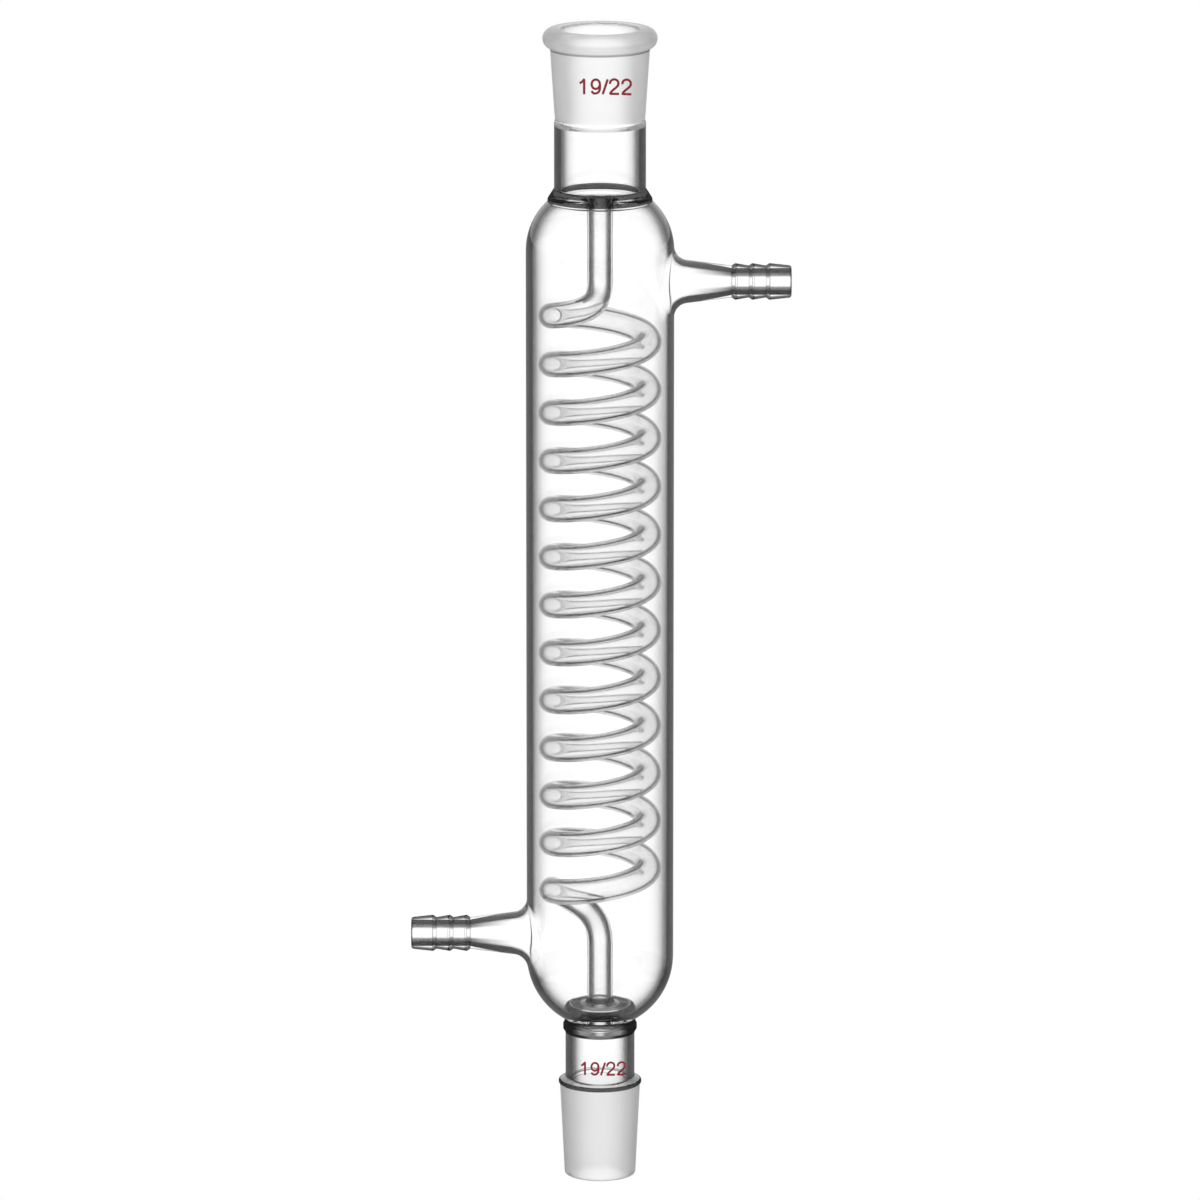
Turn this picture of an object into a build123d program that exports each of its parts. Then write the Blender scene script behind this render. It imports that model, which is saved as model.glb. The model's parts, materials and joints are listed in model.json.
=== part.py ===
"""Coil condenser: a glass reflux condenser, a coiled vapour tube sealed inside a water jacket.

Upright, +Z up the axis. The origin is the centre of the large end of the lower ground cone.
The water inlet is the lower arm, towards -X, and the water outlet the upper arm, towards +X.
The whole condenser is borosilicate glass, blown and fused into one piece. All sizes are in mm.
"""

import os
from math import pi, sqrt

from build123d import *

# standard ground joints, 18.8 mm at the large end and 22 mm long, with a taper of one in ten
joint_dia = 18.8
joint_length = 22.0
joint_taper = 0.1

# lower cone, its clear lip and the neck above it
cone_wall = 1.8
cone_end_round = 0.6
lip_dia = 19.4
lip_start = 0.2
lip_height = 0.8
lip_slope = 0.9
lip_round = 0.35
lower_neck_dia = 16.2
lower_neck_wall = 1.5
lower_neck_length = 12.4

# ring seal at the bottom with the waist above it, and the closed end of the neck in the bowl
lower_bead_dia = 17.3
lower_bead_height = 2.0
lower_bead_slope = 0.9
waist_dia = 16.7
waist_slope = 0.4
waist_height = 1.1
inner_end_dia = 16.5
inner_end_rise = 1.6
inner_end_wall = 1.5
inner_end_round = 1.2
inner_end_dome = 4.0
groove_round = 0.4

# jacket, with the bowl below it and the shoulder above it
jacket_dia = 34.3
jacket_wall = 1.5
jacket_straight = 167.6
bowl_radius = 17.3
bowl_blend = 1.0
shoulder_radius = 15.6

# ring seal at the top, with the dished disc that the coil tube opens through
upper_bead_dia = 24.2
upper_bead_edge = 0.7
upper_bead_slope = 2.4
shoulder_blend = 0.5
disc_wall = 1.6
disc_dish = 1.0
disc_below_neck = 2.3
disc_round = 0.9
ceiling_round = 0.8
collar_height = 0.5
collar_round = 0.3

# upper neck and the ground socket with its rolled rim
upper_neck_dia = 21.2
upper_neck_wall = 1.5
upper_neck_length = 15.2
neck_blend = 0.6
socket_foot_slope = 0.8
socket_wall = 2.1
rim_dia = 26.5
rim_height = 4.6
rim_widest = 2.2
rim_land_dia = 21.8
mouth_round = 0.5

# coil of glass tube, wound right-handed, with a bent lead to the axis at each end
coil_tube_dia = 6.0
coil_tube_wall = 0.9
coil_dia = 22.6
coil_pitch = 11.38
coil_turns = 12
coil_above_bowl = 15.8
entry_lead = 10.0
exit_lead = 13.5
# control points of the leads between the axis and the coil: sideways and forwards as shares of the
# coil's radius, upwards as a share of the lead's height
entry_curve = ((0, 0, 0.81), (0, 0.055, 0.24), (-0.07, 0.76, 0.24))
exit_curve = ((0.565, -0.705, -0.36), (0.155, -0.6, -0.43), (0, 0, -0.55))
entry_tangent = 0.72
exit_tangent = 0.49
upper_root_blend = 0.8
lower_root_blend = 1.6

# water arms with their hose barbs
arm_reach = 44.2
arm_root_dia = 10.7
arm_root_wall = 1.5
barb_dia = 7.4
barb_crest_dia = 8.5
barb_back = 0.8
barb_pitch = 3.95
barb_count = 3
barb_tip = 5.1
barb_bore_dia = 4.2
barb_round = 0.25
tip_round = 0.6
arm_root_blend = 2.8
bore_root_blend = 4.3
outlet_below_shoulder = 7.3
inlet_above_bowl = 5.2

# radii and places along the axis, worked out from the sizes above
joint_radius = joint_dia / 2
small_radius = joint_radius - joint_taper * joint_length / 2
lower_neck_radius = lower_neck_dia / 2
lower_bore = lower_neck_radius - lower_neck_wall
upper_neck_radius = upper_neck_dia / 2
upper_bore = upper_neck_radius - upper_neck_wall
jacket_radius = jacket_dia / 2
water_radius = jacket_radius - jacket_wall
tube_radius = coil_tube_dia / 2
tube_bore = tube_radius - coil_tube_wall
coil_radius = coil_dia / 2

lip_top = lip_height + lip_slope
bead_foot = lower_neck_length
bead_top = bead_foot + lower_bead_height
waist_foot = bead_top + waist_slope
bowl_foot = waist_foot + waist_height

bowl_axis_offset = jacket_radius - bowl_radius
shoulder_axis_offset = jacket_radius - shoulder_radius
bowl_bore = bowl_radius - jacket_wall
shoulder_bore = shoulder_radius - jacket_wall


def arc_reach(arc_radius, axis_offset, radius):
    """Height along the axis between the centre of a wall's arc and its point at this radius."""
    return sqrt(arc_radius**2 - (radius - axis_offset) ** 2)


jacket_foot = bowl_foot + arc_reach(bowl_radius, bowl_axis_offset, waist_dia / 2)
groove_foot = jacket_foot - arc_reach(bowl_bore, bowl_axis_offset, inner_end_dia / 2)
inner_end_top = groove_foot + inner_end_rise
jacket_top = jacket_foot + jacket_straight
shoulder_top = jacket_top + arc_reach(shoulder_radius, shoulder_axis_offset, upper_bead_dia / 2)
neck_foot = shoulder_top + upper_bead_edge + upper_bead_slope
disc_top = neck_foot - disc_below_neck
disc_foot = disc_top - disc_wall
socket_foot = neck_foot + upper_neck_length
mouth = socket_foot + joint_length
rim_foot = mouth - rim_height
coil_foot = jacket_foot + coil_above_bowl
coil_head = coil_foot + coil_pitch * coil_turns
outlet_height = jacket_top - outlet_below_shoulder
inlet_height = jacket_foot + inlet_above_bowl


def ring_edge(part, radius, height):
    """The circular edge round the main axis that is nearest to this radius and height."""
    circles = part.edges().filter_by(GeomType.CIRCLE)
    return circles.sort_by(
        lambda edge: abs(edge.radius - radius) + abs(edge.arc_center.Z - height)
    )[0]


# outer shape: cone, neck, bead, waist, bowl, jacket, shoulder, bead, neck and socket
with BuildPart() as shell:
    with BuildSketch(Plane.XZ):
        with BuildLine():
            lower_side = Polyline(
                (0, -joint_length),
                (small_radius, -joint_length),
                (joint_radius, 0),
                (lip_dia / 2, lip_start),
                (lip_dia / 2, lip_height),
                (lower_neck_radius, lip_top),
                (lower_neck_radius, bead_foot),
                (lower_bead_dia / 2, bead_foot + lower_bead_slope),
                (lower_bead_dia / 2, bead_top),
                (waist_dia / 2, waist_foot),
                (waist_dia / 2, bowl_foot),
            )
            bowl_side = RadiusArc(lower_side @ 1, (jacket_radius, jacket_foot), -bowl_radius)
            jacket_side = Line(bowl_side @ 1, (jacket_radius, jacket_top))
            shoulder_side = RadiusArc(
                jacket_side @ 1, (upper_bead_dia / 2, shoulder_top), -shoulder_radius
            )
            socket_side = Polyline(
                shoulder_side @ 1,
                (upper_bead_dia / 2, shoulder_top + upper_bead_edge),
                (upper_neck_radius, neck_foot),
                (upper_neck_radius, socket_foot),
                (small_radius + socket_wall, socket_foot + socket_foot_slope),
                (joint_radius + socket_wall, rim_foot),
            )
            rim_side = ThreePointArc(
                socket_side @ 1,
                (rim_dia / 2, mouth - rim_widest),
                (rim_land_dia / 2, mouth),
            )
            Polyline(rim_side @ 1, (0, mouth), (0, -joint_length))
        make_face()
    revolve(axis=Axis.Z)
    for corner_radius, corner_height, rounding in (
        (small_radius, -joint_length, cone_end_round),
        (lip_dia / 2, lip_height, lip_round),
        (lower_neck_radius, lip_top, lip_round),
        (waist_dia / 2, bowl_foot, bowl_blend),
        (upper_bead_dia / 2, shoulder_top, shoulder_blend),
        (upper_neck_radius, neck_foot, neck_blend),
    ):
        fillet(ring_edge(shell, corner_radius, corner_height), rounding)

# one water arm, a hose barb on a tapered root, lying along +X with its axis through the origin
arm_places = (
    Plane((0, 0, outlet_height), x_dir=(1, 0, 0), z_dir=(0, 0, 1)),
    Plane((0, 0, inlet_height), x_dir=(-1, 0, 0), z_dir=(0, 0, 1)),
)
last_crest = arm_reach - barb_tip
barb_foot = last_crest - (barb_count - 1) * barb_pitch - barb_back


def taper_at_axis(foot_radius, root_radius):
    """Radius that the taper between the barb's foot and the jacket reaches on the main axis."""
    return foot_radius + (root_radius - foot_radius) * barb_foot / (barb_foot - jacket_radius)


barb_outline = [(0, 0), (arm_reach, 0), (arm_reach, barb_dia / 2)]
for crest in range(barb_count):
    crest_place = last_crest - crest * barb_pitch
    barb_outline.append((crest_place, barb_crest_dia / 2))
    barb_outline.append((crest_place - barb_back, barb_dia / 2))
barb_outline.append((0, taper_at_axis(barb_dia / 2, arm_root_dia / 2)))

with BuildPart() as arm:
    with BuildSketch(Plane.XZ):
        with BuildLine():
            Polyline(barb_outline, close=True)
        make_face()
    revolve(axis=Axis.X)
    rings = arm.edges().filter_by(GeomType.CIRCLE)
    crests = rings.filter_by(lambda ring: abs(ring.radius - barb_crest_dia / 2) < barb_round)
    fillet(crests, barb_round)
    fillet(arm.edges().filter_by(GeomType.CIRCLE).sort_by(Axis.X)[-1], tip_round)

# bore of one water arm, narrow in the barb and wide at the root
bore_root_radius = arm_root_dia / 2 - arm_root_wall
with BuildPart() as arm_bore:
    with BuildSketch(Plane.XZ):
        with BuildLine():
            Polyline(
                (0, 0),
                (arm_reach, 0),
                (arm_reach, barb_bore_dia / 2),
                (barb_foot, barb_bore_dia / 2),
                (0, taper_at_axis(barb_bore_dia / 2, bore_root_radius)),
                close=True,
            )
        make_face()
    revolve(axis=Axis.X)

# path of the coil tube: down the axis, out to the coil in front, round it, and back behind
slope = coil_pitch / (2 * pi * coil_radius)
collar_top = disc_top + collar_height
inner_end_foot = inner_end_top - inner_end_wall
entry_top = coil_head + entry_lead
exit_foot = coil_foot - exit_lead


def lead_points(curve, height, lead):
    """The middle control points of a lead that joins the coil at this height."""
    return [(coil_radius * x, coil_radius * y, height + lead * z) for x, y, z in curve]


def coil_tangent(height, reach):
    """A control point in line with the coil's end at this height, in front of it or behind it."""
    return (coil_radius, coil_radius * reach, height + coil_radius * reach * slope)


with BuildPart() as coil_tube:
    with BuildLine() as coil_path:
        Line((0, 0, collar_top + collar_height), (0, 0, entry_top))
        Bezier(
            (0, 0, entry_top),
            *lead_points(entry_curve, coil_head, entry_lead),
            coil_tangent(coil_head, entry_tangent),
            (coil_radius, 0, coil_head),
        )
        Helix(coil_pitch, coil_pitch * coil_turns, coil_radius, center=(0, 0, coil_foot))
        Bezier(
            (coil_radius, 0, coil_foot),
            coil_tangent(coil_foot, -exit_tangent),
            *lead_points(exit_curve, coil_foot, exit_lead),
            (0, 0, exit_foot),
        )
        Line((0, 0, exit_foot), (0, 0, inner_end_foot - collar_height))
    with BuildSketch(Plane(coil_path.wire() @ 0, z_dir=coil_path.wire() % 0)):
        Circle(tube_radius)
    sweep(path=coil_path.wire())

with BuildPart() as coil_bore:
    with BuildSketch(Plane(coil_path.wire() @ 0, z_dir=coil_path.wire() % 0)):
        Circle(tube_bore)
    sweep(path=coil_path.wire())

# water space: inside the jacket, round the closed end of the lower neck, with the arms' bores
ceiling_radius = shoulder_axis_offset + sqrt(shoulder_bore**2 - (disc_foot - jacket_top) ** 2)
with BuildPart() as water:
    with BuildSketch(Plane.XZ):
        with BuildLine():
            floor_side = Polyline(
                (0, inner_end_top),
                (inner_end_dia / 2, inner_end_top),
                (inner_end_dia / 2, groove_foot),
            )
            bowl_inside = RadiusArc(floor_side @ 1, (water_radius, jacket_foot), -bowl_bore)
            jacket_inside = Line(bowl_inside @ 1, (water_radius, jacket_top))
            shoulder_inside = RadiusArc(
                jacket_inside @ 1, (ceiling_radius, disc_foot), -shoulder_bore
            )
            Polyline(shoulder_inside @ 1, (0, disc_foot), (0, inner_end_top))
        make_face()
    revolve(axis=Axis.Z)
    fillet(ring_edge(water, inner_end_dia / 2, inner_end_top), inner_end_round)
    fillet(ring_edge(water, inner_end_dia / 2, groove_foot), groove_round)
    fillet(ring_edge(water, ceiling_radius, disc_foot), ceiling_round)
    with Locations(*arm_places):
        add(arm_bore.part)
    bore_roots = water.edges(Select.NEW).filter_by(GeomType.BSPLINE)
    fillet(bore_roots, bore_root_blend)
    add(coil_tube.part, rotation=(0, 0, 180), mode=Mode.SUBTRACT)
    fillet(ring_edge(water, tube_radius, disc_foot), upper_root_blend)
    fillet(ring_edge(water, tube_radius, inner_end_top), lower_root_blend)

# vapour path: ground socket and upper neck, the coil's bore, then the lower neck and cone
cone_bore = small_radius - cone_wall
with BuildPart() as vapour:
    with BuildSketch(Plane.XZ):
        with BuildLine():
            Polyline(
                (0, collar_top),
                (tube_radius, collar_top),
                (tube_radius, disc_top),
                (upper_bore, disc_top + disc_dish),
                (upper_bore, socket_foot - socket_foot_slope),
                (small_radius, socket_foot),
                (joint_radius, mouth),
                (0, mouth),
                close=True,
            )
        make_face()
        with BuildLine():
            Polyline(
                (0, -joint_length),
                (cone_bore, -joint_length),
                (lower_bore, 0),
                (lower_bore, inner_end_foot),
                (0, inner_end_foot),
                close=True,
            )
        make_face()
    revolve(axis=Axis.Z)
    fillet(ring_edge(vapour, upper_bore, disc_top + disc_dish), disc_round)
    fillet(ring_edge(vapour, lower_bore, inner_end_foot), inner_end_dome)
    add(coil_bore.part, rotation=(0, 0, 180))

# the condenser: the turned shell with its arms fused on, and the two spaces inside it
with BuildPart() as condenser:
    add(shell.part)
    with Locations(*arm_places):
        add(arm.part)
    arm_roots = condenser.edges(Select.NEW).filter_by(GeomType.BSPLINE)
    fillet(arm_roots, arm_root_blend)
    add(water.part, mode=Mode.SUBTRACT)
    add(vapour.part, mode=Mode.SUBTRACT)
    fillet(ring_edge(condenser, joint_radius, mouth), mouth_round)
    fillet(ring_edge(condenser, tube_radius, collar_top), collar_round)

condenser.part.label = "condenser"
os.makedirs("parts", exist_ok=True)
export_step(condenser.part, "parts/condenser.step")
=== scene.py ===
# %% [markdown]
# # A coil condenser in clear glass
#
# This scene dresses one piece of laboratory glass: a jacket for cooling water with a coiled vapour
# tube inside it. The glass is one closed surface, because real blown glass has no inner seams, and
# a renderer bends light wherever it meets a surface.

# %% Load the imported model
import json
import math

import bmesh
import bpy
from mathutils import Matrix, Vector

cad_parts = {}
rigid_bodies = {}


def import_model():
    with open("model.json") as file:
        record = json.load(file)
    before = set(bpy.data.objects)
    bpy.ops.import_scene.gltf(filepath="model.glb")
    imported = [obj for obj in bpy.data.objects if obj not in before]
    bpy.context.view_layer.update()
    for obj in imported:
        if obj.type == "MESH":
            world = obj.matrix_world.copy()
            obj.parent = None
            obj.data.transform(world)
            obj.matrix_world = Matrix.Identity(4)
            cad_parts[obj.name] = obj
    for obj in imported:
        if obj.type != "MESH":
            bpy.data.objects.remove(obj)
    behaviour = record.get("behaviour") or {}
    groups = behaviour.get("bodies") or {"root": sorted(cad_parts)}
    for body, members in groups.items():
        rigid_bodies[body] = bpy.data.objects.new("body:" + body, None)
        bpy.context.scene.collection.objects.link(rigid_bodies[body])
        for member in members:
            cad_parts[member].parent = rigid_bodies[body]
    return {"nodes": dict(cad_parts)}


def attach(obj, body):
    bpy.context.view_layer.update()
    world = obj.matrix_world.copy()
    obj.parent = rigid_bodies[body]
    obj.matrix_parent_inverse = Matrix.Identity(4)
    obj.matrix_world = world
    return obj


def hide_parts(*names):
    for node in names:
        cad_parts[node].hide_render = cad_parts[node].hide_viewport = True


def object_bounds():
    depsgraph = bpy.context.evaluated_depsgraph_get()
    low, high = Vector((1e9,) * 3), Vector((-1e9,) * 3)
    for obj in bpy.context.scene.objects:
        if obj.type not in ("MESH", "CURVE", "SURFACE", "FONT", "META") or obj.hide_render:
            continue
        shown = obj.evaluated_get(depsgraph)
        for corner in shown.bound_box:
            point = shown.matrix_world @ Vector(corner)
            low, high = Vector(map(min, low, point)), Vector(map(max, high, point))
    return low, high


for startup_object in list(bpy.data.objects):
    bpy.data.objects.remove(startup_object)

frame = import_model()
cad_low, cad_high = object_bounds()
print("nodes in the pack:", len(frame["nodes"]))
print("CAD box in mm:", [round(1000 * side, 1) for side in cad_high - cad_low])

# %% [markdown]
# ## Sizes
#
# Every size below is a radius, length or height in millimetres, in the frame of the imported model:
# the origin is the centre of the lower cone's large end, and heights run up the axis.

# %% Name the sizes
MM = 0.001

joint_radius, small_radius, joint_length = 9.4, 8.3, 22.0
cone_bore, cone_end_round = 6.5, 0.6
lip_radius, lip_start, lip_height, lip_slope, lip_round = 9.7, 0.2, 0.8, 0.9, 0.35
lower_neck_radius, lower_bore = 8.1, 6.6
lower_bead_radius, bead_foot, bead_slope, bead_height = 8.65, 12.4, 0.9, 2.0
waist_radius, waist_slope, waist_height = 8.35, 0.4, 1.1
inner_end_radius, inner_end_rise, inner_end_wall, inner_end_round = 8.25, 1.6, 1.5, 1.2
inner_end_dome = 4.0
jacket_radius, jacket_wall, jacket_straight = 17.15, 1.5, 167.6
bowl_radius, bowl_blend, groove_round = 17.3, 1.0, 0.4
shoulder_radius, shoulder_blend = 15.6, 0.5
upper_bead_radius, bead_edge, upper_bead_slope = 12.1, 0.7, 2.4
disc_wall, disc_dish, disc_below_neck, disc_round = 1.6, 1.0, 2.3, 0.9
ceiling_round, collar_height, collar_round = 0.8, 0.5, 0.25
upper_neck_radius, upper_bore, upper_neck_length, neck_blend = 10.6, 9.1, 15.2, 0.6
socket_wall, socket_slope, mouth_round = 2.1, 0.8, 0.5
rim_radius, rim_height, rim_widest, rim_land = 13.25, 4.6, 2.2, 10.9
tube_radius, tube_bore, coil_radius = 3.0, 2.1, 11.3
coil_pitch, coil_turns, coil_above_bowl = 11.38, 12, 15.8
entry_lead, exit_lead = 10.0, 13.5
upper_root_blend, lower_root_blend = 0.8, 1.6
arm_reach, arm_root, arm_bore_root = 44.2, 5.35, 3.85
barb_radius, crest_radius, barb_bore, barb_back = 3.7, 4.25, 2.1, 0.8
barb_pitch, barb_count, barb_tip, tip_round = 3.95, 3, 5.1, 0.6
arm_blend, bore_blend, taper_gap = 2.8, 4.3, 0.6
outlet_drop, inlet_rise = 7.3, 5.2
print("joint:", 2 * joint_radius, "mm wide and", joint_length, "mm long")

# %% [markdown]
# The heights follow from those sizes. Each part stands on the one below it, from the bead over the
# lower neck up to the mouth of the socket, so a changed size moves all that is above it.

# %% Work out the heights
water_radius = jacket_radius - jacket_wall
bowl_axis = jacket_radius - bowl_radius
shoulder_axis = jacket_radius - shoulder_radius
bowl_bore = bowl_radius - jacket_wall
shoulder_bore = shoulder_radius - jacket_wall
bead_top = bead_foot + bead_height
waist_foot = bead_top + waist_slope
bowl_foot = waist_foot + waist_height
jacket_foot = bowl_foot + math.sqrt(bowl_radius**2 - (waist_radius - bowl_axis) ** 2)
jacket_top = jacket_foot + jacket_straight
groove_foot = jacket_foot - math.sqrt(bowl_bore**2 - (inner_end_radius - bowl_axis) ** 2)
shoulder_top = jacket_top + math.sqrt(shoulder_radius**2 - (upper_bead_radius - shoulder_axis) ** 2)
neck_foot = shoulder_top + bead_edge + upper_bead_slope
disc_top = neck_foot - disc_below_neck
disc_foot = disc_top - disc_wall
collar_top = disc_top + collar_height
socket_foot = neck_foot + upper_neck_length
mouth = socket_foot + joint_length
rim_foot = mouth - rim_height
inner_end_top = groove_foot + inner_end_rise
inner_end_foot = inner_end_top - inner_end_wall
coil_foot = jacket_foot + coil_above_bowl
coil_head = coil_foot + coil_pitch * coil_turns
outlet_height = jacket_top - outlet_drop
inlet_height = jacket_foot + inlet_rise
print("mouth at", round(mouth, 2), "mm, arms at", round(inlet_height, 1), round(outlet_height, 1))

# %% [markdown]
# ## Turned profiles
#
# Most of the glass is turned round one axis, so it starts as a profile of radius and height.
# Straight runs meet at corners that are rounded, and the bowl and the shoulder are true arcs.
# A holding point beside each rounding keeps the long smooth walls from shading as if they bent.

# %% Draw arcs and rounded corners
HOLD = 0.25


def arc(centre, radius, start, end, steps):
    """Points on an arc about a centre in the profile, from one angle to another in degrees."""
    angles = [math.radians(start + (end - start) * i / steps) for i in range(steps + 1)]
    return [
        Vector((centre[0] + radius * math.cos(a), centre[1] + radius * math.sin(a))) for a in angles
    ]


def arc_through(first, middle, last, steps):
    """Points on the arc that runs through three points of the profile."""
    a, b, c = Vector(first), Vector(middle), Vector(last)
    ab, ac = b - a, c - a
    cross = 2 * (ab.x * ac.y - ab.y * ac.x)
    centre = a + Vector((
        (ac.y * ab.length_squared - ab.y * ac.length_squared) / cross,
        (ab.x * ac.length_squared - ac.x * ab.length_squared) / cross,
    ))
    start = math.degrees(math.atan2(*(a - centre).yx))
    first_half = (a - centre).angle_signed(b - centre)
    last_half = (b - centre).angle_signed(c - centre)
    sweep = math.degrees(first_half + last_half)
    return arc(centre, (a - centre).length, start, start - sweep, steps)


def rounded(outline, steps=6):
    """Points along an outline of (radius, height, rounding), with its inner corners rounded."""
    points = [Vector(outline[0][:2])]
    for before, here, after in zip(outline, outline[1:], outline[2:]):
        corner = Vector(here[:2])
        back = Vector(before[:2]) - corner
        ahead = Vector(after[:2]) - corner
        turn = math.pi - back.angle(ahead)
        reach = here[2] * math.tan(turn / 2)
        hold_back = min(HOLD, 0.15 * back.length)
        hold_ahead = min(HOLD, 0.15 * ahead.length)
        back.normalize()
        ahead.normalize()
        centre = corner + (back + ahead).normalized() * here[2] / math.cos(turn / 2)
        start = corner + back * reach - centre
        end = corner + ahead * reach - centre
        points.append(corner + back * (reach + hold_back))
        points.extend(centre + here[2] * start.slerp(end, i / steps) for i in range(steps + 1))
        points.append(corner + ahead * (reach + hold_ahead))
    points.append(Vector(outline[-1][:2]))
    return points


print("a rounded corner has", len(rounded([(0, 1, 0), (0, 0, 0.2), (1, 0, 0)])) - 2, "points")

# %% [markdown]
# A concave blend, where an arc runs into an upright wall, is an arc of its own. Its centre stands
# one blend radius off the wall, and one arc radius plus one blend radius from the arc's centre.

# %% Blend the bowl and the shoulder into their ring seals
def blended_arc(axis, height, radius, wall, blend, upward, steps):
    """An arc from the jacket to an upright wall at this radius, with a blend where they meet."""
    side = 1 if upward else -1
    across = wall + blend - axis
    rise = math.sqrt((radius + blend) ** 2 - across**2)
    lean = side * math.degrees(math.atan2(rise, across))
    blend_centre = (wall + blend, height + side * rise)
    main = arc((axis, height), radius, 0, lean, steps)
    return main + arc(blend_centre, blend, lean + 180 * side, 180 * side, 6)[1:]


shoulder_curve = blended_arc(
    shoulder_axis, jacket_top, shoulder_radius, upper_bead_radius, shoulder_blend, True, 20
)
bowl_curve = blended_arc(
    bowl_axis, jacket_foot, bowl_radius, waist_radius, bowl_blend, False, 24
)
print("bowl reaches down to", round(bowl_curve[-1].y, 2), "mm")

# %% [markdown]
# The jacket is cut open where the arms join it, so its straight part has rows of its own there.

# %% Place the rows of the jacket
WINDOW_ROWS = 12
WINDOW_HALF = 8.7


def window_rows(height):
    """Heights of the rows that cross the window of an arm, from the bottom up."""
    return [height + WINDOW_HALF * (2 * i / WINDOW_ROWS - 1) for i in range(WINDOW_ROWS + 1)]


def wall_radius(height, wall):
    """Radius of the jacket at a height, on the outside for no wall and inside for its own."""
    if height > jacket_top:
        arc_radius, axis, above = shoulder_radius, shoulder_axis, height - jacket_top
    else:
        arc_radius, axis, above = bowl_radius, bowl_axis, max(jacket_foot - height, 0)
    return axis + math.sqrt((arc_radius - wall) ** 2 - above**2)


def jacket_rows(wall):
    """The part of the jacket between the two windows and across them, from the bottom up."""
    heights = window_rows(inlet_height) + window_rows(outlet_height)
    return [Vector((wall_radius(height, wall), height)) for height in heights]


def clear_of_windows(points):
    """The points of an arc that lie beyond the rows of the windows."""
    low, high = inlet_height - WINDOW_HALF - HOLD, outlet_height + WINDOW_HALF + HOLD
    return [point for point in points if not low < point.y < high]


print("rows across the windows:", len(jacket_rows(0)))

# %% [markdown]
# The outer profile is one line that never crosses itself. It starts in the mouth of the coil under
# the upper neck, climbs the bore to the rim, and comes down the whole outside to the cone. There it
# turns back up the lower neck's bore and ends in the other mouth of the coil.

# %% Join the profile of the outer glass and the vapour path
bore_run = 0.8
vapour_side = rounded([
    (tube_bore, disc_top - bore_run, 0),
    (tube_bore, collar_top, collar_round),
    (tube_radius, collar_top, collar_round),
    (tube_radius, disc_top, collar_round),
    (upper_bore, disc_top + disc_dish, disc_round),
    (upper_bore, socket_foot - socket_slope, collar_round),
    (small_radius, socket_foot, collar_round),
    (joint_radius, mouth, mouth_round),
    (rim_land, mouth, 0),
])
rim_side = arc_through(
    (rim_land, mouth), (rim_radius, mouth - rim_widest), (joint_radius + socket_wall, rim_foot), 20
)
socket_side = rounded([
    (joint_radius + socket_wall, rim_foot, 0),
    (small_radius + socket_wall, socket_foot + socket_slope, collar_round),
    (upper_neck_radius, socket_foot, collar_round),
    (upper_neck_radius, neck_foot, neck_blend),
    (upper_bead_radius, shoulder_top + bead_edge, collar_round),
    (*shoulder_curve[-1], 0),
])
cone_side = rounded([
    (*bowl_curve[-1], 0),
    (waist_radius, waist_foot, 0.2),
    (lower_bead_radius, bead_top, 0.15),
    (lower_bead_radius, bead_foot + bead_slope, collar_round),
    (lower_neck_radius, bead_foot, collar_round),
    (lower_neck_radius, lip_height + lip_slope, lip_round),
    (lip_radius, lip_height, lip_round),
    (lip_radius, lip_start, 0.1),
    (joint_radius, 0, 0.1),
    (small_radius, -joint_length, cone_end_round),
    (cone_bore, -joint_length, collar_round),
    (lower_bore, 0, collar_round),
    (lower_bore, inner_end_foot, inner_end_dome),
    (tube_bore, inner_end_foot, collar_round),
    (tube_bore, inner_end_foot + bore_run, 0),
])
outer_profile = (
    vapour_side + rim_side + socket_side + clear_of_windows(shoulder_curve[::-1])
    + jacket_rows(0)[::-1] + clear_of_windows(bowl_curve) + cone_side
)
print("outer profile:", len(outer_profile), "points")

# %% [markdown]
# The water space has a profile of its own. It starts on the coil tube under the top seal, follows
# the inside of the jacket, and ends on the coil tube above the closed end of the lower neck.

# %% Join the profile of the water space
root_run = 3.0
ceiling_reach = shoulder_axis + math.sqrt(shoulder_bore**2 - (disc_foot - jacket_top) ** 2)
ceiling_lean = math.degrees(math.atan2(disc_foot - jacket_top, ceiling_reach - shoulder_axis))
groove_lean = math.degrees(math.atan2(groove_foot - jacket_foot, inner_end_radius - bowl_axis))
shoulder_inside = arc((shoulder_axis, jacket_top), shoulder_bore, ceiling_lean, 0, 12)
bowl_inside = arc((bowl_axis, jacket_foot), bowl_bore, 0, groove_lean, 16)
water_profile = (
    rounded([
        (tube_radius, disc_foot - root_run, 0),
        (tube_radius, disc_foot, upper_root_blend),
        (*shoulder_inside[0], ceiling_round),
        (*shoulder_inside[1], 0),
    ])
    + clear_of_windows(shoulder_inside[2:])
    + jacket_rows(jacket_wall)[::-1]
    + clear_of_windows(bowl_inside[:-2])
    + rounded([
        (*bowl_inside[-2], 0),
        (*bowl_inside[-1], groove_round),
        (inner_end_radius, inner_end_top, inner_end_round),
        (tube_radius, inner_end_top, lower_root_blend),
        (tube_radius, inner_end_top + root_run, 0),
    ])
)
print("water profile:", len(water_profile), "points")

# %% [markdown]
# The thick glass of the two seals bends light in rings, which the glass finishes paint as rings of
# shade, so their runs are cut where a ring starts. The socket's side gets a narrow ring for the
# painted dark line in the crease under its rim.

# %% Cut rings into the seals
RADIUS, HEIGHT = 0, 1
DOME_RINGS = (7.35, 6.9, 4.7, 3.55)
# Heights over the shoulder of a painted dark band on the upper seal.
RING_FOOT, PAINTED_BAND_FOOT, PAINTED_BAND_TOP = 0.2, 1.3, 1.9
CREASE_WIDTH = 0.45
OFF_LINE = 0.01


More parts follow.
